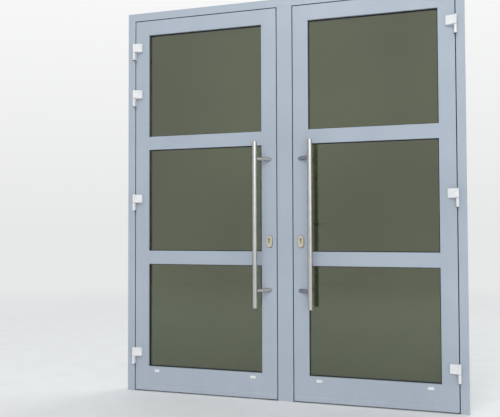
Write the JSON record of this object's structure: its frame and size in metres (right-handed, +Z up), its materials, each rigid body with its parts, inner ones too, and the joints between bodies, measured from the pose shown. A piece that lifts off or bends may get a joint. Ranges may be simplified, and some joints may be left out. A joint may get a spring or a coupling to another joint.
{
  "type": "glazed entrance door",
  "caption": "Glazed aluminium double entrance door with frame and fixed mullion: leaves on face hinges, long pull bars outside, lever handles inside, and locks with latch and dead bolt.",
  "frame": {"origin": "on the finished floor, in the mullion's middle, in the plane of the frame's outer face", "axes": "+X to the right seen from outside, +Y into the building through the door, +Z up"},
  "size_m": [2.111, 0.2125, 2.46],
  "materials": {
    "frame_paint": "powder coated, satin",
    "glass": "clear",
    "black_rubber": "matte",
    "spacer_aluminium": "matte",
    "hinge_silver": "satin",
    "stainless": "brushed",
    "hard_steel": "satin",
    "champagne": "anodised",
    "cylinder_brass": "nickel-plated",
    "bush_plastic": "matte",
    "block_plastic": "matte",
    "white_plastic": "matte",
    "brush_fibre": "fibrous"
  },
  "bodies": {
    "frame": {"left_jamb": "frame_paint", "right_jamb": "frame_paint", "head": "frame_paint", "mullion": "frame_paint", "thresholds": "frame_paint", "stop_seals": "black_rubber", "hinge_barrels": "hinge_silver", "hinge_pins": "hard_steel", "strikes": "stainless", "strike_screws": "hard_steel"},
    "left_leaf": {"left_hinge_stile": "frame_paint", "left_lock_stile": "frame_paint", "left_top_rail": "frame_paint", "left_mid_rails": "frame_paint", "left_bottom_rail": "frame_paint", "left_glass": "glass", "left_glass_spacers": "spacer_aluminium", "left_glazing_gaskets": "black_rubber", "left_glazing_beads": "frame_paint", "left_setting_blocks": "block_plastic", "left_drain_caps": "white_plastic", "left_bottom_strip": "frame_paint", "left_foot_seal": "brush_fibre", "left_hinge_wings": "hinge_silver", "left_hinge_bushes": "bush_plastic", "left_pull_handle": "stainless", "left_cylinder_roses": "champagne", "left_lever_rose": "champagne", "left_lock_case": "stainless", "left_lock_cylinder": "cylinder_brass"},
    "left_lever_body": {"left_lever": "champagne"},
    "left_latch_bolt_body": {"left_latch_bolt": "hard_steel"},
    "left_dead_bolt_body": {"left_dead_bolt": "hard_steel"},
    "left_outer_plug_body": {"left_outer_plug": "cylinder_brass"},
    "left_inner_plug_body": {"left_inner_plug": "cylinder_brass"},
    "right_leaf": {"right_hinge_stile": "frame_paint", "right_lock_stile": "frame_paint", "right_top_rail": "frame_paint", "right_mid_rails": "frame_paint", "right_bottom_rail": "frame_paint", "right_glass": "glass", "right_glass_spacers": "spacer_aluminium", "right_glazing_gaskets": "black_rubber", "right_glazing_beads": "frame_paint", "right_setting_blocks": "block_plastic", "right_drain_caps": "white_plastic", "right_bottom_strip": "frame_paint", "right_foot_seal": "brush_fibre", "right_hinge_wings": "hinge_silver", "right_hinge_bushes": "bush_plastic", "right_pull_handle": "stainless", "right_cylinder_roses": "champagne", "right_lever_rose": "champagne", "right_lock_case": "stainless", "right_lock_cylinder": "cylinder_brass"},
    "right_lever_body": {"right_lever": "champagne"},
    "right_latch_bolt_body": {"right_latch_bolt": "hard_steel"},
    "right_dead_bolt_body": {"right_dead_bolt": "hard_steel"},
    "right_outer_plug_body": {"right_outer_plug": "cylinder_brass"},
    "right_inner_plug_body": {"right_inner_plug": "cylinder_brass"}
  },
  "joints": [
    {"name": "left_leaf_swing", "type": "hinge", "parent": "frame", "child": "left_leaf", "pos_m": [-1.003, -0.024, 0], "axis": [0, 0, -1], "range_deg": [0, 100]},
    {"name": "left_lever_turn", "type": "hinge", "parent": "left_leaf", "child": "left_lever_body", "pos_m": [-0.0985, 0.065, 1.07], "axis": [0, -1, 0], "range_deg": [0, 40], "stiffness_Nm_per_rad": 2, "springref_deg": -28.65},
    {"name": "left_latch_slide", "type": "slide", "parent": "left_leaf", "child": "left_latch_bolt_body", "axis": [-1, 0, 0], "range_m": [0, 0.012]},
    {"name": "left_outer_key_turn", "type": "hinge", "parent": "left_leaf", "child": "left_outer_plug_body", "pos_m": [-0.0985, 0, 0.978], "axis": [0, -1, 0], "range_deg": [0, 360]},
    {"name": "left_dead_bolt_slide", "type": "slide", "parent": "left_leaf", "child": "left_dead_bolt_body", "axis": [1, 0, 0], "range_m": [0, 0.02]},
    {"name": "left_inner_key_turn", "type": "hinge", "parent": "left_leaf", "child": "left_inner_plug_body", "pos_m": [-0.0985, 0.065, 0.978], "axis": [0, -1, 0], "range_deg": [0, 360]},
    {"name": "right_leaf_swing", "type": "hinge", "parent": "frame", "child": "right_leaf", "pos_m": [1.003, -0.024, 0], "axis": [0, 0, 1], "range_deg": [0, 100]},
    {"name": "right_lever_turn", "type": "hinge", "parent": "right_leaf", "child": "right_lever_body", "pos_m": [0.0985, 0.065, 1.07], "axis": [0, 1, 0], "range_deg": [0, 40], "stiffness_Nm_per_rad": 2, "springref_deg": -28.65},
    {"name": "right_latch_slide", "type": "slide", "parent": "right_leaf", "child": "right_latch_bolt_body", "axis": [1, 0, 0], "range_m": [0, 0.012]},
    {"name": "right_outer_key_turn", "type": "hinge", "parent": "right_leaf", "child": "right_outer_plug_body", "pos_m": [0.0985, 0, 0.978], "axis": [0, 1, 0], "range_deg": [0, 360]},
    {"name": "right_dead_bolt_slide", "type": "slide", "parent": "right_leaf", "child": "right_dead_bolt_body", "axis": [-1, 0, 0], "range_m": [0, 0.02]},
    {"name": "right_inner_key_turn", "type": "hinge", "parent": "right_leaf", "child": "right_inner_plug_body", "pos_m": [0.0985, 0.065, 0.978], "axis": [0, 1, 0], "range_deg": [0, 360]}
  ],
  "couplings": [
    {"joint": "left_latch_slide", "follows": "left_lever_turn", "m_per_rad": 0.01718},
    {"joint": "left_outer_key_turn", "follows": "left_dead_bolt_slide", "rad_per_m": 314.16},
    {"joint": "right_latch_slide", "follows": "right_lever_turn", "m_per_rad": 0.01718},
    {"joint": "right_outer_key_turn", "follows": "right_dead_bolt_slide", "rad_per_m": 314.16}
  ]
}
